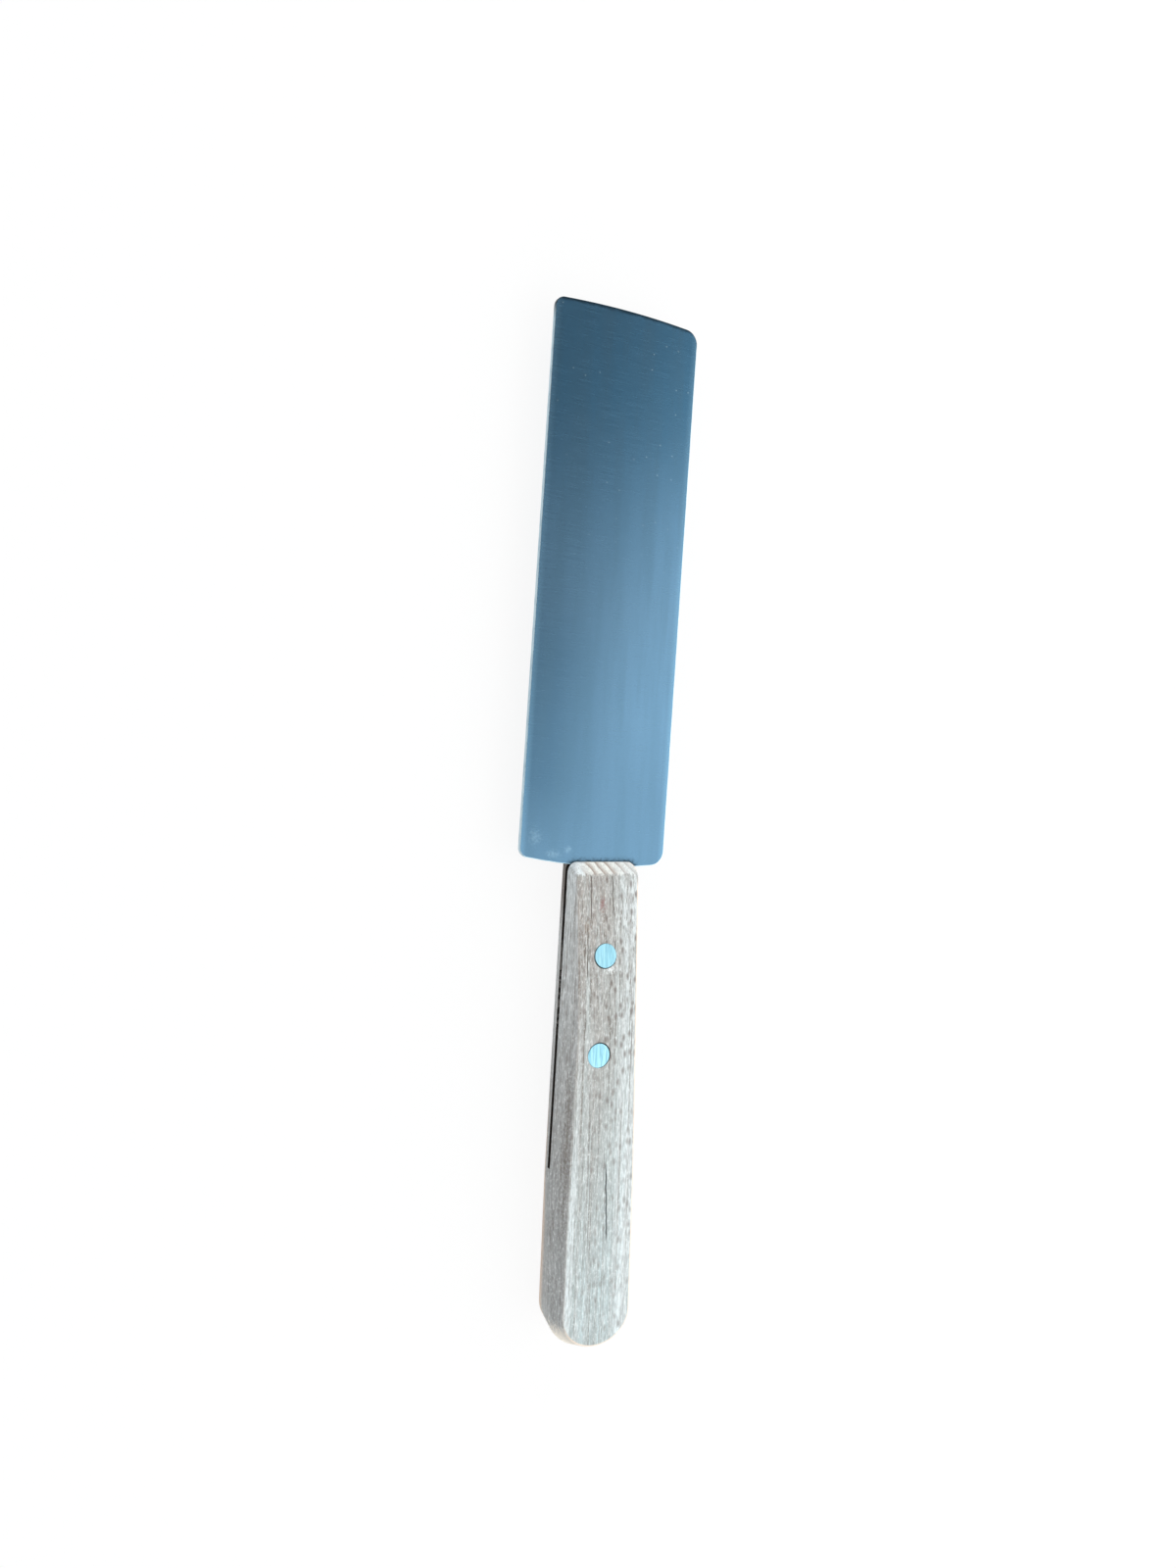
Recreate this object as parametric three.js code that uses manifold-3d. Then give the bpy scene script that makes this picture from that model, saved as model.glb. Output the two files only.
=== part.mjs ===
// Raclette knife lying flat, in millimetres: +Y runs from the butt to the tip, and +Z is up, square to the
// flat of the blade. The handle sits to the +X side of the blade's centre line. The origin is under the
// middle of the whole knife.
import * as THREE from "three";
import { mergeVertices } from "three/addons/utils/BufferGeometryUtils.js";
import Module from "manifold-3d";

const wasm = await Module();
wasm.setup();

// Blade: a flat strip with parallel long edges and crowned ends
const BLADE_WIDTH = 44;
const BLADE_LENGTH = 149.8; // from the middle of the heel to the middle of the tip
const BLADE_THICKNESS = 1.2;
const BLADE_EDGE_EASE = 0.15;
const TIP_CROWN = 1; // bulge of the tip beyond a straight line between its corners
const HEEL_CROWN = 1.6;
const HEEL_SLANT = 1; // how much further back the heel's right corner lies than its left one
const TIP_LEFT_RADIUS = 2.6;
const TIP_RIGHT_RADIUS = 3.5;
const HEEL_LEFT_RADIUS = 2.2;
const HEEL_RIGHT_RADIUS = 3.6;

// Tang: the blade's own steel, hidden in the handle's kerf
const TANG_WIDTH = 14;
const TANG_LENGTH = 76; // behind the handle's front end
const TANG_END_RADIUS = 4;

// Handle: a six-sided bar with a ridge along each flank and a round butt
const HANDLE_LENGTH = 131.5;
const HANDLE_THICKNESS = 15;
const HANDLE_FRONT_THICKNESS = 8.2;
const HANDLE_WIDTH = 25.1; // across the ridges where they stand out most
const HANDLE_FRONT_WIDTH = 21;
const BUTT_WIDTH = 22.4;
const HANDLE_OFFSET = 2.8; // of the handle's front end to the right of the blade's centre line
const HANDLE_TURN = 1.75; // degrees by which the butt swings further to the right
const SWELL_LENGTH = 85; // from the front end to where the ridges stand out most
const TAPER_LENGTH = 47; // from the front end to where the faces reach their full height
const TAPER_CURVE = 1.3; // 1 makes the taper straight, and more makes it swell earlier
const FLANK_LEAN = 2.8; // from each ridge in to the faces' edges, behind the taper
const FLANK_FRONT_LEAN = 1; // the same at the front end
const BUTT_LEAN = 1.2; // the same where the butt's round begins
const BUTT_END_LEAN = 2.6; // the same at the butt's end
const END_CHAMFER_LENGTH = 3.2; // of the straight chamfer on the front end's upper face
const END_CHAMFER_DEPTH = 2.3;
const END_CORNER_LENGTH = 2.6; // of the round corners between the front end and the flanks above the kerf
const END_CORNER_DEPTH = 2.3;
const HEEL_OVERLAP = 1.3; // how far the middle of the heel sits in the kerf
const KERF_LENGTH = 82;
const KERF_CLEARANCE = 0.1; // between the tang and each wall of the kerf

// Rivets: a male and a female half on one axis, with heads ground flush
const RIVET_HEAD_DIAMETER = 6.5;
const RIVET_HEAD_HEIGHT = 2;
const RIVET_BARREL_DIAMETER = 4.4;
const RIVET_SHANK_DIAMETER = 3;
const RIVET_CLEARANCE = 0.15; // around each half, and between the two
const RIVET_END_GAP = 0.3; // beyond the end of each shank
const FRONT_RIVET_SETBACK = 24.6; // from the handle's front end to the rivet's axis
const REAR_RIVET_SETBACK = 50.9;
const FRONT_RIVET_OFFSET = -0.8; // from the handle's centre line to the rivet's axis
const REAR_RIVET_OFFSET = -2.45;

// Facets of the round stretches
const ARC_STEPS = 6;
const END_CORNER_STEPS = 3;
const TAPER_STEPS = 5;
const BUTT_STEPS = 10;
const RIVET_SIDES = 40;

const CUT_MARGIN = 1; // how far a cutter runs out past what it cuts

const BUTT_SETBACK = HANDLE_LENGTH - BUTT_WIDTH / 2; // from the front end to the middle of the butt's round

const { clamp, degToRad, lerp } = THREE.MathUtils;

const satinSteel = new THREE.MeshStandardMaterial({ color: 0x5f86a0, roughness: 0.42, metalness: 1 });
const oiledBeech = new THREE.MeshStandardMaterial({ color: 0xc0c4c0, roughness: 0.7, metalness: 0 });
const groundAluminium = new THREE.MeshStandardMaterial({ color: 0xaee0ee, roughness: 0.35, metalness: 1 });

// A geometry as a closed solid that can be joined and cut.
function solid(geometry) {
  geometry.deleteAttribute("normal");
  geometry.deleteAttribute("uv");
  const merged = mergeVertices(geometry);
  const vertProperties = merged.getAttribute("position").array;
  const triVerts = new Uint32Array(merged.getIndex().array);
  return new wasm.Manifold(new wasm.Mesh({ numProp: 3, vertProperties, triVerts }));
}

// A solid as a named mesh.
function mesh(name, body, material) {
  const { vertProperties, triVerts } = body.getMesh();
  const geometry = new THREE.BufferGeometry();
  geometry.setAttribute("position", new THREE.BufferAttribute(vertProperties, 3));
  geometry.setIndex(new THREE.BufferAttribute(triVerts, 1));
  const made = new THREE.Mesh(geometry, material);
  made.name = name;
  return made;
}

// A round bar along Z.
function bar(diameter, bottom, top, x = 0, y = 0) {
  const geometry = new THREE.CylinderGeometry(diameter / 2, diameter / 2, top - bottom, RIVET_SIDES);
  geometry.rotateX(Math.PI / 2);
  geometry.translate(x, y, (bottom + top) / 2);
  return solid(geometry);
}

// The circle of an end of the blade that bulges by its crown beyond the line between two corners.
function crownCircle(from, to, crown) {
  const along = to.clone().sub(from);
  const outwards = new THREE.Vector2(along.y, -along.x).normalize();
  const radius = along.lengthSq() / (8 * crown) + crown / 2;
  const centre = from.clone().add(to).multiplyScalar(0.5).addScaledVector(outwards, crown - radius);
  return { centre, radius };
}

// The corner arc between a long edge and an end of the blade. The side is 1 for the right edge and -1 for the
// left one, and the end is 1 for the tip and -1 for the heel.
function cornerArc(side, end, circle, radius) {
  const x = side * (BLADE_WIDTH / 2 - radius);
  const rise = Math.sqrt((circle.radius - radius) ** 2 - (x - circle.centre.x) ** 2);
  const centre = new THREE.Vector2(x, circle.centre.y + end * rise);
  const edgeAngle = side > 0 ? 0 : Math.PI;
  const endAngle = centre.clone().sub(circle.centre).angle();
  return { centre, radius, edgeAngle, endAngle };
}

// The outline of the blade and its tang, anticlockwise from the heel's right corner. The middle of the heel
// is at y = 0.
function bladeOutline(tangMiddle) {
  const corner = (side, y) => new THREE.Vector2((side * BLADE_WIDTH) / 2, y);
  const heelCorner = (side) => corner(side, HEEL_CROWN - (side * HEEL_SLANT) / 2);
  const tipCorner = (side) => corner(side, BLADE_LENGTH - TIP_CROWN);
  const heel = crownCircle(heelCorner(-1), heelCorner(1), HEEL_CROWN);
  const tip = crownCircle(tipCorner(1), tipCorner(-1), TIP_CROWN);
  const heelRight = cornerArc(1, -1, heel, HEEL_RIGHT_RADIUS);
  const tipRight = cornerArc(1, 1, tip, TIP_RIGHT_RADIUS);
  const tipLeft = cornerArc(-1, 1, tip, TIP_LEFT_RADIUS);
  const heelLeft = cornerArc(-1, -1, heel, HEEL_LEFT_RADIUS);
  const tangCorner = (side) => ({
    centre: new THREE.Vector2(
      tangMiddle + side * (TANG_WIDTH / 2 - TANG_END_RADIUS),
      HEEL_OVERLAP - TANG_LENGTH + TANG_END_RADIUS,
    ),
    radius: TANG_END_RADIUS,
  });
  const tangRootAngle = (side) => {
    const fromCentre = tangMiddle + (side * TANG_WIDTH) / 2 - heel.centre.x;
    return 1.5 * Math.PI + Math.asin(fromCentre / heel.radius);
  };
  const outline = new THREE.Shape();
  const arc = ({ centre, radius }, from, to) => outline.absarc(centre.x, centre.y, radius, from, to);
  arc(heelRight, heelRight.endAngle, heelRight.edgeAngle);
  arc(tipRight, tipRight.edgeAngle, tipRight.endAngle);
  arc(tip, tipRight.endAngle, tipLeft.endAngle);
  arc(tipLeft, tipLeft.endAngle, tipLeft.edgeAngle);
  arc(heelLeft, heelLeft.edgeAngle, heelLeft.endAngle);
  arc(heel, heelLeft.endAngle, tangRootAngle(-1));
  arc(tangCorner(-1), Math.PI, 1.5 * Math.PI);
  arc(tangCorner(1), 1.5 * Math.PI, 2 * Math.PI);
  arc(heel, tangRootAngle(1), heelRight.endAngle);
  return outline;
}

// The share of the way from one setback to another, from 0 to 1.
function share(setback, from, to) {
  return clamp((setback - from) / (to - from), 0, 1);
}

// The handle's half thickness, and its half widths at the ridges and at the faces, at a setback from the
// front end.
function handleSection(setback) {
  const taper = (1 - share(setback, 0, TAPER_LENGTH)) ** TAPER_CURVE;
  const swell = share(setback, 0, SWELL_LENGTH);
  const close = share(setback, SWELL_LENGTH, BUTT_SETBACK);
  const thickness = lerp(HANDLE_THICKNESS, HANDLE_FRONT_THICKNESS, taper);
  const width = lerp(lerp(HANDLE_FRONT_WIDTH, HANDLE_WIDTH, swell), BUTT_WIDTH, close);
  const lean = lerp(lerp(FLANK_LEAN, FLANK_FRONT_LEAN, taper), BUTT_LEAN, close);
  return { height: thickness / 2, ridge: width / 2, face: width / 2 - lean };
}

// How far the front end's chamfer cuts the upper face down, and its round corners cut the sides in, at a
// setback.
function endCuts(setback) {
  const chamfer = END_CHAMFER_DEPTH * (1 - share(setback, 0, END_CHAMFER_LENGTH));
  const intoCorner = 1 - share(setback, 0, END_CORNER_LENGTH);
  const corner = END_CORNER_DEPTH * (1 - Math.sqrt(1 - intoCorner ** 2));
  return { chamfer, corner };
}

// The handle's rows from front to butt: setbacks along the straight part, then turns round the butt's centre.
function handleRows() {
  const rows = [];
  for (let i = 0; i <= END_CORNER_STEPS; i += 1) {
    const turn = (Math.PI / 2) * (i / END_CORNER_STEPS);
    rows.push({ setback: END_CORNER_LENGTH * (1 - Math.cos(turn)), turn: 0 });
  }
  for (let i = 0; i <= TAPER_STEPS; i += 1) {
    const setback = END_CHAMFER_LENGTH + ((TAPER_LENGTH - END_CHAMFER_LENGTH) * i) / TAPER_STEPS;
    rows.push({ setback, turn: 0 });
  }
  rows.push({ setback: SWELL_LENGTH, turn: 0 });
  for (let i = 0; i <= BUTT_STEPS; i += 1) {
    rows.push({ setback: BUTT_SETBACK, turn: (Math.PI / 2) * (i / BUTT_STEPS) });
  }
  return rows;
}

// The uncut handle, moved by a shift: a box with a row of points for each section, and its middle points on
// the ridges. Its lower face has a square front end, which lies under the blade.
function handleBlank(shiftX = 0, shiftY = 0) {
  const rows = handleRows();
  const last = rows.length - 1;
  const geometry = new THREE.BoxGeometry(2, last, 2, 1, last, 2);
  const points = geometry.getAttribute("position");
  for (let i = 0; i < points.count; i += 1) {
    const { setback, turn } = rows[Math.round(last / 2 - points.getY(i))];
    const { height, ridge, face } = handleSection(setback);
    const level = Math.round(points.getZ(i));
    const { chamfer, corner } = level < 0 ? { chamfer: 0, corner: 0 } : endCuts(setback);
    const half = (level === 0 ? ridge : face) - corner;
    const reach = level === 0 ? ridge : ridge - BUTT_END_LEAN;
    const x = Math.sign(points.getX(i)) * half * Math.cos(turn);
    points.setXYZ(i, x, -setback - reach * Math.sin(turn), level * (height - chamfer));
  }
  geometry.translate(shiftX, shiftY, 0);
  return solid(geometry);
}

// The handle's group: its origin is the middle of the handle's front end, on the blade's middle plane.
const handleGroup = new THREE.Group();
handleGroup.position.set(HANDLE_OFFSET, HEEL_OVERLAP, 0);
handleGroup.rotation.z = degToRad(HANDLE_TURN);
handleGroup.updateMatrix();

// Each rivet's place in the handle's group, and the height of the handle's faces there.
const rivets = [
  { name: "front_rivet", x: FRONT_RIVET_OFFSET, y: -FRONT_RIVET_SETBACK },
  { name: "rear_rivet", x: REAR_RIVET_OFFSET, y: -REAR_RIVET_SETBACK },
].map((rivet) => ({ ...rivet, face: handleSection(-rivet.y).height }));

// The blade and its tang as one piece of steel about z = 0, with eased edges and a hole for each rivet.
function makeBlade() {
  const holes = rivets.map(({ x, y }) => new THREE.Vector3(x, y, 0).applyMatrix4(handleGroup.matrix));
  const outline = bladeOutline(holes.reduce((sum, { x }) => sum + x, 0) / holes.length);
  const holeRadius = RIVET_BARREL_DIAMETER / 2 + RIVET_CLEARANCE;
  outline.holes = holes.map(({ x, y }) => new THREE.Path().absarc(x, y, holeRadius, 0, 2 * Math.PI));
  const geometry = new THREE.ExtrudeGeometry(outline, {
    depth: BLADE_THICKNESS - 2 * BLADE_EDGE_EASE,
    bevelThickness: BLADE_EDGE_EASE,
    bevelSize: BLADE_EDGE_EASE,
    bevelOffset: -BLADE_EDGE_EASE,
    bevelSegments: 1,
    curveSegments: ARC_STEPS,
  });
  geometry.translate(0, 0, BLADE_EDGE_EASE - BLADE_THICKNESS / 2);
  const made = new THREE.Mesh(geometry, satinSteel);
  made.name = "blade";
  return made;
}

// The handle with its kerf, and for each rivet a bore through and a seat for each head.
function makeHandle() {
  const kerfHeight = BLADE_THICKNESS + 2 * KERF_CLEARANCE;
  const kerf = new THREE.BoxGeometry(HANDLE_WIDTH + 2 * CUT_MARGIN, KERF_LENGTH + CUT_MARGIN, kerfHeight);
  kerf.translate(0, (CUT_MARGIN - KERF_LENGTH) / 2, 0);
  const boreDiameter = RIVET_BARREL_DIAMETER + 2 * RIVET_CLEARANCE;
  const seatDiameter = RIVET_HEAD_DIAMETER + 2 * RIVET_CLEARANCE;
  const bored = rivets.reduce((wood, { x, y, face }) => {
    const top = face + CUT_MARGIN;
    const seat = face - RIVET_HEAD_HEIGHT - RIVET_CLEARANCE;
    return wood
      .subtract(bar(boreDiameter, -top, top, x, y))
      .subtract(bar(seatDiameter, seat, top, x, y))
      .subtract(bar(seatDiameter, -top, -seat, x, y));
  }, handleBlank().subtract(solid(kerf)));
  return mesh("handle", bored, oiledBeech);
}

// The two halves of a rivet: the male one's shank in the female one's barrel, and both heads flush with the
// wood.
function makeRivet({ name, x, y, face }) {
  const top = face + CUT_MARGIN;
  const seat = face - RIVET_HEAD_HEIGHT;
  const shank = bar(RIVET_SHANK_DIAMETER, RIVET_END_GAP - seat, top);
  const male = bar(RIVET_HEAD_DIAMETER, seat, top).add(shank);
  const barrel = bar(RIVET_BARREL_DIAMETER, -top, seat - RIVET_END_GAP);
  const socket = bar(RIVET_SHANK_DIAMETER + 2 * RIVET_CLEARANCE, -seat, top);
  const female = bar(RIVET_HEAD_DIAMETER, -top, -seat).add(barrel).subtract(socket);
  const wood = handleBlank(-x, -y);
  const halves = [
    mesh(`${name}_male`, male.intersect(wood), groundAluminium),
    mesh(`${name}_female`, female.intersect(wood), groundAluminium),
  ];
  halves.forEach((half) => half.position.set(x, y, 0));
  return halves;
}

handleGroup.add(makeHandle(), ...rivets.flatMap(makeRivet));

const assembly = new THREE.Group();
assembly.add(makeBlade(), handleGroup);

// The knife lies on z = 0, with its middle over the origin.
const box = new THREE.Box3().setFromObject(assembly, true);
const middle = box.getCenter(new THREE.Vector3());
assembly.position.set(-middle.x, -middle.y, -box.min.z);

const knife = new THREE.Group();
knife.add(assembly);

export default knife;
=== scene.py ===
"""Raclette knife: a broad satin steel blade riveted into a six-sided beech handle, on a pale studio floor."""
import logging
import math
from collections.abc import Sequence
from dataclasses import dataclass
from enum import Enum
from typing import Any

import bmesh
import bpy
from mathutils import Matrix, Vector


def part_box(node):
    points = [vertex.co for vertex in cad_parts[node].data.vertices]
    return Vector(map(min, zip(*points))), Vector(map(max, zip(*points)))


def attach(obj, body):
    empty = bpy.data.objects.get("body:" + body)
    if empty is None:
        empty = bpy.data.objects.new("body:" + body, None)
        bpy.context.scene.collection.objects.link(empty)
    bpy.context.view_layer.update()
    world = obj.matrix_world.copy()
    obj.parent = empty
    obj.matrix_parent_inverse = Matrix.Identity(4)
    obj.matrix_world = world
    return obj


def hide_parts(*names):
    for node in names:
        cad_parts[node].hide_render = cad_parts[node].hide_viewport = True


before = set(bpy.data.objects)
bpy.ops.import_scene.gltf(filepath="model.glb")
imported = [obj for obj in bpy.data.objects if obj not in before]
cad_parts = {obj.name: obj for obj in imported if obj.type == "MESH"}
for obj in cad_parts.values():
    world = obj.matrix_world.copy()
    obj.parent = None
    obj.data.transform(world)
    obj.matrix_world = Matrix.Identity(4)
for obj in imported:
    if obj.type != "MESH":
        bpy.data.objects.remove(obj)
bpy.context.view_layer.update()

BODY = "root"
MM = 0.001
MERGE = 1e-4
SHARP_ANGLE = math.radians(32)
FLAT_FACE_WEIGHT = 90
WORN_EDGE = "worn_edge"
LOG = logging.getLogger("raclette_knife")

Material = bpy.types.Material
Piece = bpy.types.Object
Shape = bmesh.types.BMesh
Socket = bpy.types.NodeSocket
Tone = str | Socket
Size = tuple[float, float, float]


class Slot(Enum):
    """The record's material slots."""

    STEEL = "satin_steel"
    BEECH = "oiled_beech"
    ALUMINIUM = "ground_aluminium"


class Level(Enum):
    """The heights at which the handle's six-sided section has its corners."""

    UNDER = -1
    RIDGE = 0
    TOP = 1


class Half(Enum):
    """A rivet's two halves. The male one's head is on the upper side."""

    MALE = "male"
    FEMALE = "female"


class Axis(Enum):
    """The axes of a piece's own frame."""

    ACROSS = 0
    ALONG = 1
    UP = 2


class Spread(Enum):
    """Whether flecks lie on the flat or all through a piece."""

    FLAT = "2D"
    SOLID = "3D"


class Rounding(Enum):
    """What is rounded on a shape."""

    EDGES = "EDGES"
    CORNERS = "VERTICES"


def linear(colour: str) -> tuple[float, float, float, float]:
    """Turns an sRGB hex colour to linear light, by the curve of its standard.

    Args:
        colour: The colour as "#rrggbb".

    Returns:
        Red, green, blue and an alpha of 1.
    """
    channels = (int(colour[at:at + 2], 16) / 255 for at in (1, 3, 5))
    red, green, blue = (c / 12.92 if c <= 0.04045 else ((c + 0.055) / 1.055) ** 2.4 for c in channels)
    return red, green, blue, 1.0


def mix(low: float, high: float, part: float) -> float:
    """Returns the value that lies a part of the way from low to high."""
    return low + (high - low) * part


def share(value: float, low: float, high: float) -> float:
    """Returns how far a value lies on the way from low to high, from 0 to 1."""
    return min(1.0, max(0.0, (value - low) / (high - low)))


@dataclass(frozen=True)
class Place:
    """Where a piece's own frame, in millimetres, lies in the knife's frame."""

    origin: Vector
    turn: float = 0.0

    def matrix(self) -> Matrix:
        """Returns the step from the piece's millimetres to the knife's metres."""
        turned = Matrix.Rotation(self.turn, 4, "Z") @ Matrix.Scale(MM, 4)
        return Matrix.Translation(self.origin * MM) @ turned


class Pattern:
    """Where a look shows on a piece, in the piece's millimetres."""

    def draw(self, shader: "Shader") -> Socket:
        """Draws the pattern.

        Args:
            shader: The material that it is on.

        Returns:
            The pattern as a mask from 0 to 1.
        """
        raise NotImplementedError


Where = Pattern | Socket


@dataclass(frozen=True)
class Coat:
    """A colour that lies over others: how much of it shows, and the patterns that all say where."""

    colour: Tone
    strength: float
    where: tuple[Pattern, ...] = ()


@dataclass(frozen=True)
class Relief:
    """A pattern that stands out of a surface, or is sunk where its depth, in millimetres, is below 0."""

    pattern: Pattern
    strength: float
    depth: float


class Shader:
    """A material in the making, with its colour so far and its surface's places in millimetres."""

    def __init__(self, name: str, place: Place, tone: str) -> None:
        """Starts a material.

        Args:
            name: The material's name.
            place: The frame that its patterns are drawn in.
            tone: The colour that its coats lie on.
        """
        self.material = bpy.data.materials.new(name)
        self.material.use_nodes = True
        self.tree = self.material.node_tree
        self.surface = self.tree.nodes["Principled BSDF"]
        self.drawn: dict[Pattern, Socket] = {}
        self.tone: Tone = tone
        self.point = self.seen_from(place)
        self.axes = self.node("SeparateXYZ", [self.point]).node.outputs

    def node(
        self, kind: str, inputs: dict[Any, Any] | Sequence[Any] = (), out: int | str = 0, **settings: Any
    ) -> Socket:
        """Adds a node.

        Args:
            kind: The node's type without its ShaderNode prefix.
            inputs: Values, or sockets to link, for its inputs: in their order, or by name or number.
            out: The output to return, by name or number.
            **settings: The node's own settings.

        Returns:
            The output.
        """
        node = self.tree.nodes.new("ShaderNode" + kind)
        for name, value in settings.items():
            setattr(node, name, value)
        self.feed(node, inputs if isinstance(inputs, dict) else dict(enumerate(inputs)))
        return node.outputs[out]

    def feed(self, node: bpy.types.Node, inputs: dict[Any, Any]) -> None:
        """Sets or links a node's inputs.

        Args:
            node: The node.
            inputs: A value, or a socket to link, for each input by its name or number.
        """
        for name, value in inputs.items():
            if isinstance(value, Socket):
                self.tree.links.new(value, node.inputs[name])
            else:
                node.inputs[name].default_value = value

    def seen_from(self, place: Place) -> Socket:
        """Gives the surface's points in a frame.

        Args:
            place: The frame.

        Returns:
            The points, in the frame's millimetres.
        """
        return self.node("Mapping", {
            "Vector": self.node("TexCoord", out="Object"),
            "Location": place.origin * MM,
            "Rotation": (0.0, 0.0, place.turn),
            "Scale": (MM, MM, MM),
        }, vector_type="TEXTURE")

    def mask(self, where: Where) -> Socket:
        """Finds the mask of a pattern, and draws it the first time.

        Args:
            where: The pattern, or a mask.

        Returns:
            The mask, from 0 to 1.
        """
        if isinstance(where, Socket):
            return where
        if where not in self.drawn:
            self.drawn[where] = where.draw(self)
        return self.drawn[where]

    def overlap(self, strength: float, *where: Where) -> Socket:
        """Finds where masks lie over each other.

        Args:
            strength: The weight where all of them are 1.
            *where: The masks, or the patterns that draw them.

        Returns:
            The weight, from 0 to the strength.
        """
        weight: Any = strength
        for mask in where:
            weight = self.node("Math", (self.mask(mask), weight), operation="MULTIPLY")
        return weight

    def blend(self, under: Tone, coat: Coat, *where: Where) -> Socket:
        """Mixes a coat over a colour.

        Args:
            under: The colour below.
            coat: The coat.
            *where: Masks or patterns that say where it lies, as well as its own.

        Returns:
            The colour.
        """
        weight = self.overlap(coat.strength, *coat.where, *where)
        below, above = (tone if isinstance(tone, Socket) else linear(tone) for tone in (under, coat.colour))
        return self.node("Mix", {0: weight, 6: below, 7: above}, 2, data_type="RGBA")

    def lay(self, coat: Coat, *where: Where) -> None:
        """Lays a coat on the surface where its own patterns and these masks all say so."""
        self.tone = self.blend(self.tone, coat, *where)

    def finish(self, relief: Relief, inputs: dict[str, Any]) -> Material:
        """Gives the surface its colour, its relief and its gloss.

        Args:
            relief: The relief.
            inputs: Values or sockets for the surface's other inputs.

        Returns:
            The material.
        """
        height = self.mask(relief.pattern)
        bump = {"Height": height, "Strength": relief.strength, "Distance": relief.depth * MM}
        self.feed(self.surface, {"Base Color": self.tone, "Normal": self.node("Bump", bump), **inputs})
        return self.material


@dataclass(frozen=True)
class Fade(Pattern):
    """A look that grows along an axis, from nothing or the least at its start to all at its end."""

    axis: Axis
    start: float
    end: float
    least: float = 0.0

    def draw(self, shader: Shader) -> Socket:
        """Returns the fade as a mask from 0 to 1."""
        return shader.node("MapRange", (shader.axes[self.axis.value], self.start, self.end, self.least))


@dataclass(frozen=True)
class Around(Pattern):
    """A look that grows with the distance from a place on an axis, or shrinks with it."""

    axis: Axis
    middle: float
    start: float
    end: float

    def draw(self, shader: Shader) -> Socket:
        """Draws the look.

        Args:
            shader: The material that it is on.

        Returns:
            The look as a mask, 0 at its start's distance and 1 at its end's.
        """
        aside = shader.node("Math", (shader.axes[self.axis.value], self.middle), operation="SUBTRACT")
        away = shader.node("Math", [aside], operation="ABSOLUTE")
        return shader.node("MapRange", (away, self.start, self.end))


@dataclass(frozen=True)
class Streaks(Pattern):
    """Noise drawn out to streaks: their length along each axis, and the noise that counts as 0 and as 1."""

    size: Size
    low: float
    high: float
    detail: float = 3.0
    roughness: float = 0.6

    def draw(self, shader: Shader) -> Socket:
        """Draws the streaks.

        Args:
            shader: The material that they are on.

        Returns:
            The streaks as a mask from 0 to 1.
        """
        drawn = shader.node("VectorMath", (shader.point, self.size), operation="DIVIDE")
        grain = {"Vector": drawn, "Scale": 1.0, "Detail": self.detail, "Roughness": self.roughness}
        ranged = (shader.node("TexNoise", grain), self.low, self.high)
        return shader.node("MapRange", ranged, interpolation_type="SMOOTHSTEP")


@dataclass(frozen=True)
class Flecks(Pattern):
    """Scattered flecks, at a mean distance along each axis in millimetres.

    A fleck's radius is a part of that distance, and its full core is a part of the radius. Only a part of
    the places have a fleck.
    """

    size: Size
    radius: float
    part: float
    spread: Spread = Spread.SOLID
    core: float = 0.3

    def draw(self, shader: Shader) -> Socket:
        """Draws the flecks.

        Args:
            shader: The material that they are on.

        Returns:
            The flecks as a mask from 0 to 1.
        """
        drawn = shader.node("VectorMath", (shader.point, self.size), operation="DIVIDE")
        cells = {"Vector": drawn, "Scale": 1.0}
        away = shader.node("TexVoronoi", cells, "Distance", voronoi_dimensions=self.spread.value)
        near = shader.node("MapRange", (away, self.radius, self.radius * self.core))
        draw = shader.node("SeparateColor", [away.node.outputs["Color"]])
        chosen = shader.node("Math", (draw, self.part), operation="LESS_THAN")
        return shader.node("Math", (near, chosen), operation="MULTIPLY")


@dataclass(frozen=True)
class Mark:
    """A single mark with a ragged edge on a flat side, in the piece's millimetres."""

    coat: Coat
    x: float
    y: float
    width: float
    length: float
    crumbs: Streaks = Streaks((0.6, 0.8, 0.6), 0.25, 0.75)
    ragged: float = 1.2
    rim: float = 1.6
    core: float = 0.7

    def draw(self, shader: Shader, side: float, depth: float) -> Socket:
        """Draws the mark.

        Args:
            shader: The material that it is on.
            side: The height of the side that it lies on.
            depth: How deep it goes.

        Returns:
            The mark as a mask from 0 to 1.
        """
        middle = (self.x, self.y, side)
        size = (self.width / 2, self.length / 2, depth)
        away = shader.node("VectorMath", (shader.point, middle), operation="SUBTRACT")
        sized = shader.node("VectorMath", (away, size), operation="DIVIDE")
        reach = shader.node("VectorMath", [sized], "Value", operation="LENGTH")
        edge = shader.node("Math", (shader.mask(self.crumbs), self.ragged, reach), operation="MULTIPLY_ADD")
        return shader.node("MapRange", (edge, self.rim, self.core))


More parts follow.
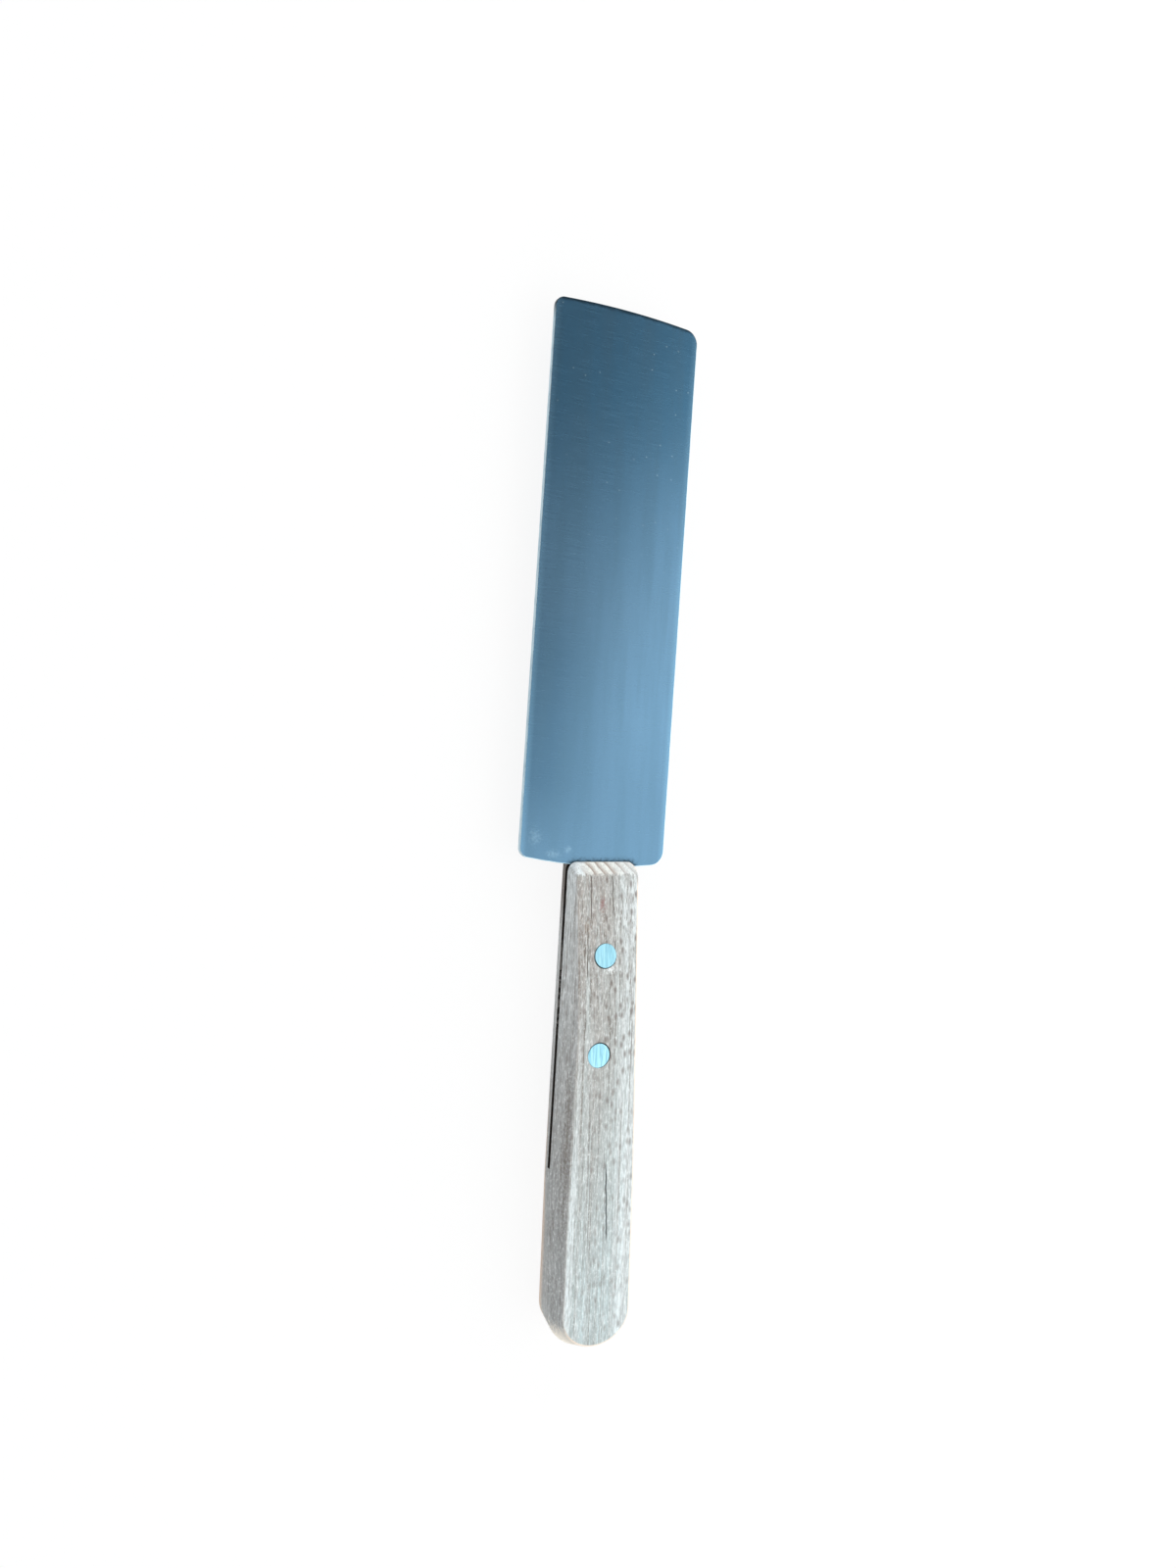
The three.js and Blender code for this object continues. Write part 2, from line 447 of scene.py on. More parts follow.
@dataclass(frozen=True)
class GrainLine(Pattern):
    """A dark line or crack along the grain of the handle's upper face, bent a little by the grain."""

    coat: Coat
    x: float
    y: float
    reach: float
    slope: float = 0.0
    width: float = 0.2
    core: float = 0.3
    wander: float = 0.5
    bends: Streaks = Streaks((40.0, 5.0, 40.0), 0.2, 0.8)
    fade: float = 3.0
    lowest: float = 3.5

    def draw(self, shader: Shader) -> Socket:
        """Draws the line.

        Args:
            shader: The wood.

        Returns:
            The line as a mask from 0 to 1.
        """
        x, y, z = shader.axes
        middle = self.x + self.y * self.slope + self.wander / 2
        line = shader.node("Math", (y, self.slope, x), operation="MULTIPLY_ADD")
        bent = shader.node("Math", (shader.mask(self.bends), self.wander, line), operation="MULTIPLY_ADD")
        aside = shader.node("Math", (bent, middle), operation="SUBTRACT")
        across = shader.node("Math", [aside], operation="ABSOLUTE")
        thin = shader.node("MapRange", (across, self.width, self.width * self.core))
        upper = shader.node("Math", (z, self.lowest), operation="GREATER_THAN")
        ends = Around(Axis.ALONG, self.y, self.reach, self.reach - self.fade)
        return shader.overlap(1.0, thin, upper, ends)


@dataclass(frozen=True)
class SatinSteel:
    """Stainless steel sheet, satin brushed across the blade. Places are in the blade's millimetres."""

    hairlines: Streaks = Streaks((8.0, 0.35, 9.0), 0.3, 0.7)
    towards_tip: Fade = Fade(Axis.ALONG, 70.0, 128.0)
    body: str = "#5e7f98"
    # Painted reflection: the steel is painted a little darker and bluer towards the tip.
    tip_reflection: Coat = Coat("#4d7997", 1.0, (towards_tip,))
    # Painted reflection: the steel is painted lighter on the right, between the heel and the tip.
    light_reflection: Coat = Coat("#7096b3", 0.35, (
        Fade(Axis.ACROSS, 0.0, 16.0, 0.4), Fade(Axis.ALONG, 120.0, 95.0), Fade(Axis.ALONG, 18.0, 40.0),
    ))
    # Painted reflection: the steel is painted darker on the left, fading out towards the tip and the heel.
    dark_reflection: Coat = Coat("#45667e", 0.6, (
        Fade(Axis.ACROSS, 2.0, -15.0), Fade(Axis.ALONG, 85.0, 55.0), Fade(Axis.ALONG, 2.0, 22.0),
    ))
    cloud: Coat = Coat("#547489", 0.35, (Streaks((5.0, 60.0, 30.0), 0.38, 0.66),))
    hairline: Coat = Coat("#6b8ca4", 0.1, (hairlines,))
    # Painted highlight: a lighter band along both long edges of the blade.
    edge_sheen: Coat = Coat("#7fabc8", 0.3)
    edge_sheen_width: float = 2.0
    bright_width: float = 0.5
    drops: tuple[Mark, ...] = (
        Mark(Coat("#a9c8da", 0.15), -17.7, 7.2, 4.0, 4.8),
        Mark(Coat("#a9c8da", 0.2), -12.2, 2.9, 4.4, 2.6),
        Mark(Coat("#a9c8da", 0.2), -7.7, 4.2, 2.6, 2.0),
    )
    dust: Coat = Coat("#b9d2de", 0.6, (Flecks((4.0, 4.0, 1.0), 0.065, 0.15, Spread.FLAT), towards_tip))
    burnt: Coat = Coat("#1c242b", 0.7)
    burnt_width: float = 0.9
    burnt_fade: float = 0.7
    burnt_crust: Streaks = Streaks((2.0, 1.0, 1.0), 0.2, 0.8)
    burnt_ragged: float = 0.5
    # Painted shadow: a dark band on the blade in front of the handle and round its corners.
    joint_shadow: Coat = Coat("#1f2930", 0.85)
    joint_shadow_reach: float = 2.6
    joint_shadow_core: float = 0.4
    joint_shadow_crust: Streaks = Streaks((0.8, 0.8, 0.8), 0.25, 0.75)
    joint_shadow_ragged: float = 0.7
    joint_shadow_falloff: float = 3.0
    corner: float = 2.5
    relief: Relief = Relief(hairlines, 0.004, 0.01)
    roughness: float = 0.245
    hairline_roughness: float = 0.275

    def material(self, place: Place, blade: "Blade", joint: Place, joint_width: float) -> Material:
        """Makes the steel.

        Args:
            place: The blade's frame.
            blade: The blade, for its sizes.
            joint: The handle's frame, from the middle of its front end.
            joint_width: The width of the handle's front end.

        Returns:
            The material.
        """
        # A cool grey steel. Painted reflection makes it a little darker and bluer towards the tip,
        # lighter on the right and darker on the left, and a painted highlight runs along the long edges. It
        # has faint hairlines from side to side, pale dust, dried drops at the heel, a burnt tip, and a
        # painted contact shadow where the handle begins. Real hairlines are about 0.05 mm apart and are drawn
        # seven times as coarse, so that they show.
        shader = Shader("satin_brushed_stainless_steel", place, self.body)
        half = blade.width / 2
        side = blade.thickness / 2
        for coat in (self.tip_reflection, self.light_reflection, self.dark_reflection, self.cloud, self.hairline):
            shader.lay(coat)
        shader.lay(self.edge_sheen, Around(Axis.ACROSS, 0.0, half - self.edge_sheen_width, half - self.bright_width))
        for drop in self.drops:
            shader.lay(drop.coat, drop.draw(shader, side, side))
        shader.lay(self.dust)
        shader.lay(self.burnt, self._burnt(shader, blade))
        shader.lay(self.joint_shadow, self._joint_shadow(shader, joint, joint_width))
        sheen = (shader.mask(self.hairlines), 0.0, 1.0, self.roughness, self.hairline_roughness)
        return shader.finish(self.relief, {"Metallic": 1.0, "Roughness": shader.node("MapRange", sheen)})

    def _burnt(self, shader: Shader, blade: "Blade") -> Socket:
        """Tells where the heat has burnt fat on to the edge of the tip.

        Args:
            shader: The steel.
            blade: The blade, for its sizes.

        Returns:
            The burnt edge as a mask from 0 to 1.
        """
        x, y, _ = shader.axes
        across = shader.node("Math", (x, blade.width / 2), operation="DIVIDE")
        squared = shader.node("Math", (across, across), operation="MULTIPLY")
        straight = shader.node("Math", (squared, blade.tip_crown, y), operation="MULTIPLY_ADD")
        ragged = (shader.mask(self.burnt_crust), self.burnt_ragged, straight)
        edge = shader.node("Math", ragged, operation="MULTIPLY_ADD")
        start = blade.length - self.burnt_width
        return shader.node("MapRange", (edge, start, start + self.burnt_fade))

    def _joint_shadow(self, shader: Shader, joint: Place, width: float) -> Socket:
        """Tells where the painted contact shadow lies in front of the handle and round its corners.

        Args:
            shader: The steel.
            joint: The handle's frame, from the middle of its front end.
            width: The width of the handle's front end.

        Returns:
            The painted shadow as a mask from 0 to 1.
        """
        across, along, _ = shader.node("SeparateXYZ", [shader.seen_from(joint)]).node.outputs
        aside = shader.node("Math", [across], operation="ABSOLUTE")
        folded = shader.node("CombineXYZ", (aside, along))
        middle = (width / 2 - self.corner, -self.corner, 0.0)
        past = shader.node("VectorMath", (folded, middle), operation="SUBTRACT")
        outward = shader.node("VectorMath", (past, (0.0, 0.0, 0.0)), operation="MAXIMUM")
        away = shader.node("VectorMath", [outward], "Value", operation="LENGTH")
        ragged = (shader.mask(self.joint_shadow_crust), self.joint_shadow_ragged, away)
        edge = shader.node("Math", ragged, operation="MULTIPLY_ADD")
        reach = (edge, self.corner + self.joint_shadow_reach, self.corner + self.joint_shadow_core)
        near = shader.node("MapRange", reach)
        return shader.node("Math", (near, self.joint_shadow_falloff), operation="POWER")


@dataclass(frozen=True)
class ShearedSteel:
    """The same sheet where it was cut and rounded, coloured bright as a painted highlight."""

    burrs: Streaks = Streaks((4.0, 4.0, 1.0), 0.4, 0.7)
    # Painted highlight: the cut edge is coloured far brighter than the sheet.
    bright: str = "#b9ced8"
    burr: Coat = Coat("#93aebd", 0.8, (burrs,))
    burnt: Coat = Coat("#1c242b", 0.9, (Fade(Axis.ALONG, 143.0, 147.0),))
    relief: Relief = Relief(burrs, 0.1, 0.02)
    roughness: float = 0.3

    def material(self, place: Place) -> Material:
        """Makes the cut edge's steel.

        Args:
            place: The blade's frame.

        Returns:
            The material.
        """
        # A bright narrow line round the darker sheet, which is a painted highlight, broken every few
        # millimetres by the grinding, and burnt dark at the tip.
        shader = Shader("sheared_stainless_edge", place, self.bright)
        shader.lay(self.burr)
        shader.lay(self.burnt)
        return shader.finish(self.relief, {"Metallic": 1.0, "Roughness": self.roughness})


@dataclass(frozen=True)
class WornBeech:
    """Beech, sawn and sanded, oiled once and greyed by washing. Places are in the handle's millimetres."""

    front: Fade = Fade(Axis.ALONG, -115.0, -15.0)
    mostly_front: Fade = Fade(Axis.ALONG, -90.0, -40.0, 0.6)
    near_blade: Fade = Fade(Axis.ALONG, -100.0, 0.0)
    left_half: Fade = Fade(Axis.ACROSS, 4.0, -4.0)
    fibres: Streaks = Streaks((0.38, 2.4, 0.38), 0.4, 0.6)
    butt_face: str = "#c8d7d9"
    bleach_and_light: str = "#eff6f8"
    front_face: Coat = Coat("#c8c9c6", 1.0, (front,))
    band: Coat = Coat("#a6a7a4", 0.4, (Streaks((1.7, 300.0, 1.7), 0.47, 0.57),))
    bleached_side: Coat = Coat(bleach_and_light, 0.7, (Streaks((2.0, 120.0, 2.0), 0.42, 0.54),))
    right_side: Fade = Fade(Axis.ACROSS, 1.0, 6.0)
    rear_left_side: tuple[Fade, ...] = (Fade(Axis.ACROSS, -3.0, -6.0), Fade(Axis.ALONG, -15.0, -115.0))
    tan_heart: Coat = Coat("#a4958d", 0.5, (
        Streaks((2.4, 200.0, 2.4), 0.4, 0.54), Around(Axis.ACROSS, -5.0, 8.5, 3.5), front,
    ))
    tan_ring: Coat = Coat("#a4958d", 0.2)
    ring_pitch: float = 3.1
    ring_bends: Streaks = Streaks((16.0, 90.0, 16.0), 0.0, 1.0)
    ring_wander: float = 1.6
    ring_width: float = 0.62
    flank_shade: str = "#9a9999"
    # Painted shade: the flanks are painted darker than the faces. Painted light makes the left one paler
    # near the blade, in the pale colour that also stands for bleaching. That fade stands twice, so that it
    # falls off faster.
    flank_front_light: Coat = Coat(bleach_and_light, 1.0, (near_blade, near_blade, left_half))
    flank_strength: float = 0.8
    flank_facing: tuple[float, float] = (0.5, 0.8)
    line: Coat = Coat("#75695f", 0.75, (Streaks((0.4, 60.0, 0.4), 0.55, 0.61), mostly_front))
    long_pale: Coat = Coat("#f8fcfc", 0.3, (Streaks((0.5, 5.0, 0.5), 0.52, 0.64),))
    short_pale: Coat = Coat("#f8fcfc", 0.4, (Streaks((0.42, 0.9, 0.42), 0.52, 0.64),))
    fibre: Coat = Coat("#767979", 0.35, (fibres,))
    ray_fleck: Coat = Coat("#72645e", 0.7, (
        Flecks((1.6, 3.2, 1.6), 0.42, 0.75), Fade(Axis.ACROSS, -8.0, 0.0, 0.5), mostly_front,
    ))
    # Painted shade: the left flank is painted darker low down under the blade's heel, which shades it.
    heel_shade: Coat = Coat("#6d645e", 0.95, (Fade(Axis.ALONG, -21.0, -9.0), Fade(Axis.UP, -0.2, -0.7)))
    marks: tuple[Mark, ...] = (
        Mark(Coat("#8a5653", 0.8), -1.5, -11.0, 3.2, 4.6),
        Mark(Coat("#f4f8f8", 1.0), 0.5, -28.3, 3.6, 2.6),
        Mark(Coat("#947f6c", 0.5), -6.2, -17.0, 2.0, 5.0),
        Mark(Coat("#6f645b", 0.6), -10.1, -74.0, 2.2, 52.0),
    )
    mark_height: float = 6.0
    mark_depth: float = 2.0
    lines: tuple[GrainLine, ...] = (
        GrainLine(Coat("#3c3f40", 0.95), 1.655, -91.0, 11.0, 0.055, 0.32),
        GrainLine(Coat("#54483f", 0.95), -5.2, -8.5, 8.0),
        GrainLine(Coat("#54483f", 0.85), 1.4, -8.0, 7.5),
        GrainLine(Coat("#54483f", 0.9), -6.2, -24.0, 8.0),
    )
    inner: Fade = Fade(Axis.ACROSS, -8.5, -5.0)
    end_face: Coat = Coat("#f6f6f0", 1.0, (inner,))
    end_ring: Coat = Coat("#9d8270", 0.9, (inner,))
    end_side: Coat = Coat(bleach_and_light, 0.5)
    end_fibre: Coat = Coat("#767979", 0.2, (fibres,))
    end_torn: Streaks = Streaks((0.5, 3.0, 0.5), 0.25, 0.75)
    end_ragged: float = 0.4
    end_facing: tuple[float, float] = (0.4, 0.85)
    # Painted light: the butt's end grain is cream towards its lower left, over a darker grey.
    butt_grey: str = "#a8a298"
    butt_lit: Coat = Coat("#f7ebdb", 1.0, (Fade(Axis.ACROSS, 6.0, -5.0), Fade(Axis.UP, 6.0, -1.0, 0.5)))
    butt_strength: float = 0.85
    butt_half: Fade = Fade(Axis.ALONG, -60.0, -61.0)
    # Painted highlight: a cream line along the rounded outline edges, most on the right.
    rim: Coat = Coat("#f2dfcf", 0.9)
    rim_upper: Fade = Fade(Axis.UP, 1.0, 3.0)
    rim_right: Fade = Fade(Axis.ACROSS, -6.0, 6.0, 0.1)
    rim_last: Fade = Fade(Axis.ALONG, -121.0, -127.0)
    rim_under: tuple[Fade, ...] = (Fade(Axis.ALONG, -60.0, -80.0), Fade(Axis.UP, -4.0, -6.5), left_half)
    relief: Relief = Relief(fibres, 0.3, -0.06)
    roughness: float = 0.62
    specular: float = 0.3

    def material(self, place: Place) -> Material:
        """Makes the wood.

        Args:
            place: The handle's frame, with the grain along y.

        Returns:
            The material.
        """
        # Pale silvery wood with long soft bands, thin lines and short dark ray flecks along the grain, tan in
        # its middle near the blade, bleached at its sides, and near white end grain with tan growth rings,
        # which lie at 45 degrees in the section. Painted shade darkens the flanks and the left flank under
        # the blade's heel. Painted light makes the left flank paler near the blade and the butt's end grain
        # cream towards its lower left, and a cream painted highlight runs along the rounded outline edges.
        # Fibres are about 0.02 mm wide and are drawn as streaks of about 0.4 mm, so that they show.
        shader = Shader("worn_oiled_beech", place, self.butt_face)
        facing = shader.node("SeparateXYZ", [shader.node("TexCoord", out="Normal")]).node.outputs
        sides = self._sides(shader)
        rings = self._rings(shader)
        shader.lay(self.front_face)
        shader.lay(self.band)
        shader.lay(self.bleached_side, sides)
        shader.lay(self.tan_heart)
        shader.lay(self.tan_ring, rings)
        flank_shade = Coat(shader.blend(self.flank_shade, self.flank_front_light), self.flank_strength)
        shader.lay(flank_shade, self._flanks(shader, facing[0]))
        for coat in (self.line, self.long_pale, self.short_pale, self.fibre, self.ray_fleck):
            shader.lay(coat)
        left = shader.node("MapRange", (facing[0], *(-turn for turn in self.flank_facing)))
        shader.lay(self.heel_shade, left)
        for mark in self.marks:
            shader.lay(mark.coat, mark.draw(shader, self.mark_height, self.mark_depth))
        for line in self.lines:
            shader.lay(line.coat, line)
        shader.lay(Coat(self._end(shader, rings, sides), 1.0), self._end_grain(shader, facing[1]))
        shader.lay(self.rim, self._edge_highlight(shader))
        return shader.finish(self.relief, {"Roughness": self.roughness, "Specular IOR Level": self.specular})

    def _sides(self, shader: Shader) -> Socket:
        """Returns a mask of the bleached sides: the right one, and towards the butt the left one too."""
        rear = shader.overlap(1.0, *self.rear_left_side)
        return shader.node("Math", (shader.mask(self.right_side), rear), operation="MAXIMUM")

    def _rings(self, shader: Shader) -> Socket:
        """Draws growth rings, each dark at its start and fading towards the next.

        Args:
            shader: The wood.

        Returns:
            The rings as a mask from 0 to 1.
        """
        x, _, z = shader.axes
        slanted = shader.node("Math", (x, z), operation="SUBTRACT")
        counted = shader.node("Math", (slanted, self.ring_pitch), operation="DIVIDE")
        bent = (shader.mask(self.ring_bends), self.ring_wander, counted)
        waved = shader.node("Math", bent, operation="MULTIPLY_ADD")
        within = shader.node("Math", [waved], operation="FRACT")
        return shader.node("MapRange", (within, self.ring_width, 0.0))

    def _flanks(self, shader: Shader, facing: Socket) -> Socket:
        """Returns a mask of the flanks on both sides, from how far the surface faces right."""
        either = shader.node("Math", [facing], operation="ABSOLUTE")
        return shader.node("MapRange", (either, *self.flank_facing))

    def _end(self, shader: Shader, rings: Socket, sides: Socket) -> Socket:
        """Mixes the end grain's colour: at the butt, painted grey and painted light cream towards its lower
        left.

        Args:
            shader: The wood.
            rings: The growth rings.
            sides: The bleached sides.

        Returns:
            The colour.
        """
        butt = Coat(shader.blend(self.butt_grey, self.butt_lit), self.butt_strength)
        tone = shader.blend(self.bleach_and_light, self.end_face)
        tone = shader.blend(tone, self.end_ring, rings)
        tone = shader.blend(tone, self.end_side, sides)
        tone = shader.blend(tone, butt, self.butt_half)
        return shader.blend(tone, self.end_fibre)

    def _end_grain(self, shader: Shader, facing: Socket) -> Socket:
        """Tells where the wood is cut across its grain, with a ragged edge.

        Args:
            shader: The wood.
            facing: How far the surface faces along the handle.

        Returns:
            The end grain as a mask from 0 to 1.
        """
        either = shader.node("Math", [facing], operation="ABSOLUTE")
        torn = (shader.mask(self.end_torn), self.end_ragged, either)
        ragged = shader.node("Math", torn, operation="MULTIPLY_ADD")
        return shader.node("MapRange", (ragged, *self.end_facing), interpolation_type="SMOOTHSTEP")

    def _edge_highlight(self, shader: Shader) -> Socket:
        """Tells where the painted edge highlight lies: above, most on the right and at the butt, below on the
        left.

        Args:
            shader: The wood.

        Returns:
            The painted highlight as a mask from 0 to 1.
        """
        edges = shader.node("Attribute", out="Fac", attribute_name=WORN_EDGE)
        ends = (shader.mask(self.rim_right), shader.mask(self.rim_last))
        upper_highlight = shader.overlap(1.0, edges, self.rim_upper, shader.node("Math", ends, operation="MAXIMUM"))
        lower_highlight = shader.overlap(1.0, *self.rim_under)
        return shader.node("Math", (upper_highlight, lower_highlight), operation="MAXIMUM")


@dataclass(frozen=True)
class SawnBeech:
    """Beech as the saw and the drill left it, painted dark as the shade in the kerf and the holes."""

    saw_marks: Streaks = Streaks((6.0, 1.5, 1.0), 0.4, 0.65)
    # Painted shade: the raw wood is coloured near black, as the deep kerf is shaded.
    wood: str = "#38322d"
    tear: Coat = Coat("#1c1917", 0.7, (saw_marks,))
    crumb: Coat = Coat("#a5a29d", 0.8, (
        Streaks((4.0, 1.6, 4.0), 0.42, 0.6), Around(Axis.ALONG, -34.0, 14.0, 9.0),
    ))
    relief: Relief = Relief(saw_marks, 0.4, 0.1)
    roughness: float = 0.85
    specular: float = 0.2

    def material(self, place: Place) -> Material:
        """Makes the raw wood.

        Args:
            place: The handle's frame.

        Returns:
            The material.
        """
        # Dull wood, painted dark as shade, with the saw's marks about 1.5 mm apart, and pale crumbs caught in
        # the kerf.
        shader = Shader("sawn_raw_beech", place, self.wood)
        shader.lay(self.tear)
        shader.lay(self.crumb)
        return shader.finish(self.relief, {"Roughness": self.roughness, "Specular IOR Level": self.specular})


@dataclass(frozen=True)
class GroundAluminium:
    """Soft aluminium, ground flush with the wood along the handle."""

    scratches: Streaks = Streaks((0.35, 6.0, 2.0), 0.45, 0.65)
    body: str = "#96c8d8"
    bright: Coat = Coat("#b2deea", 0.7, (Streaks((0.9, 12.0, 2.0), 0.4, 0.7),))
    scratch: Coat = Coat("#74a5b8", 0.55, (scratches,))
    relief: Relief = Relief(scratches, 0.2, -0.02)
    roughness: float = 0.45
    scratch_roughness: float = 0.6

    def material(self, place: Place) -> Material:
        """Makes the aluminium.

        Args:
            place: The handle's frame.

        Returns:
            The material.
        """
        # A pale cold shine with straight scratches along the handle. Grit leaves them about 0.1 mm wide, and
        # they are drawn at 0.35 mm, so that they show.
        shader = Shader("flush_ground_aluminium", place, self.body)
        shader.lay(self.bright)
        shader.lay(self.scratch)
        dulled = (shader.mask(self.scratches), 0.0, 1.0, self.roughness, self.scratch_roughness)
        return shader.finish(self.relief, {"Metallic": 1.0, "Roughness": shader.node("MapRange", dulled)})


@dataclass(frozen=True)
class SeamlessPaper:
    """White studio paper, which the camera and shiny metal see as white."""

    white: str = "#fafafa"
    cloud: Coat = Coat("#f6f6f6", 0.5, (Streaks((400.0, 400.0, 400.0), 0.0, 1.0),))
    glow: float = 0.9
    roughness: float = 0.9

    def material(self, place: Place) -> Material:
        """Makes the paper.

        Args:
            place: The knife's frame.

        Returns:
            The material.
        """
        # Even matt white. Most of what is seen of it is an even glow, and the rest keeps the soft shadow.
        shader = Shader("white_seamless_paper", place, self.white)
        shader.lay(self.cloud)
        shader.feed(shader.surface, {
            "Base Color": shader.tone,
            "Roughness": self.roughness,
            "Specular IOR Level": 0.0,
        })
        path = shader.node("LightPath").node.outputs
        shiny = (path["Is Glossy Ray"], path["Is Transmission Ray"])
        mirrored = shader.node("Math", shiny, operation="MAXIMUM")
        seen = shader.node("Math", (path["Is Camera Ray"], mirrored), operation="MAXIMUM")
        glowing = shader.node("Emission", {"Color": linear("#ffffff"), "Strength": 1.0})
        both = (shader.overlap(self.glow, seen), shader.surface.outputs[0], glowing)
        shader.feed(shader.tree.nodes["Material Output"], {"Surface": shader.node("MixShader", both)})
        return shader.material


def points_in(geom: Sequence[Any]) -> list[bmesh.types.BMVert]:
    """Returns the points among what an operator made."""
    return [item for item in geom if isinstance(item, bmesh.types.BMVert)]


def ease(
    shape: Shape, geom: Sequence[Any], width: float, steps: int, kind: Rounding = Rounding.EDGES
) -> dict[str, list[Any]]:
    """Rounds a shape's edges or corners.

    Args:
        shape: The shape.
        geom: The edges, or the points of the corners.
        width: How far the rounding reaches.
        steps: The number of its steps.
        kind: Whether edges or corners are rounded.

    Returns:
        The new faces, edges and points.
    """
    return bmesh.ops.bevel(
        shape, geom=geom, offset=width, affect=kind.value, segments=steps, profile=0.5, material=-1
    )


def set_down(shape: Shape, name: str, materials: Sequence[Material]) -> Piece:
    """Turns a shape into an object of the scene.

    Args:
        shape: The shape, which is used up.
        name: The object's name.
        materials: Its materials.

    Returns:
        The object.
    """
    mesh = bpy.data.meshes.new(name)
    shape.to_mesh(mesh)
    shape.free()
    for material in materials:
        mesh.materials.append(material)
    piece = bpy.data.objects.new(name, mesh)
    bpy.context.scene.collection.objects.link(piece)
    return piece


def carve(piece: Piece, tool: Shape, bare: Material) -> None:
    """Cuts a shape out of a piece.

    Args:
        piece: The piece.
        tool: The shape to take away, which is used up.
        bare: The material of the walls that the cut lays bare.
    """
    cutter = set_down(tool, piece.name + "_cutter", [bare])
    cut = piece.modifiers.new("cut", "BOOLEAN")
    cut.operation = "DIFFERENCE"
    cut.solver = "EXACT"
    cut.material_mode = "TRANSFER"
    cut.object = cutter
    whole = piece.data
    done = piece.evaluated_get(bpy.context.evaluated_depsgraph_get())
    piece.data = bpy.data.meshes.new_from_object(done)
    piece.modifiers.clear()
    bpy.data.meshes.remove(whole)
    bpy.data.meshes.remove(cutter.data)


def fit(piece: Piece, place: Place, node: str) -> None:
    """Puts a finished piece in its place on the knife, in the stead of a CAD node.

    Args:
        piece: The piece, in its own millimetres.
        place: Where its frame lies.
        node: The CAD node that it stands for.
    """
    piece.data.transform(place.matrix())
    piece.data.shade_smooth()
    piece.data.set_sharp_from_angle(angle=SHARP_ANGLE)
    weighted = piece.modifiers.new("even_faces", "WEIGHTED_NORMAL")
    weighted.keep_sharp = True
    weighted.weight = FLAT_FACE_WEIGHT
    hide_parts(node)
    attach(piece, BODY)
    LOG.info("%s: %d faces, stands for %s", piece.name, len(piece.data.polygons), node)


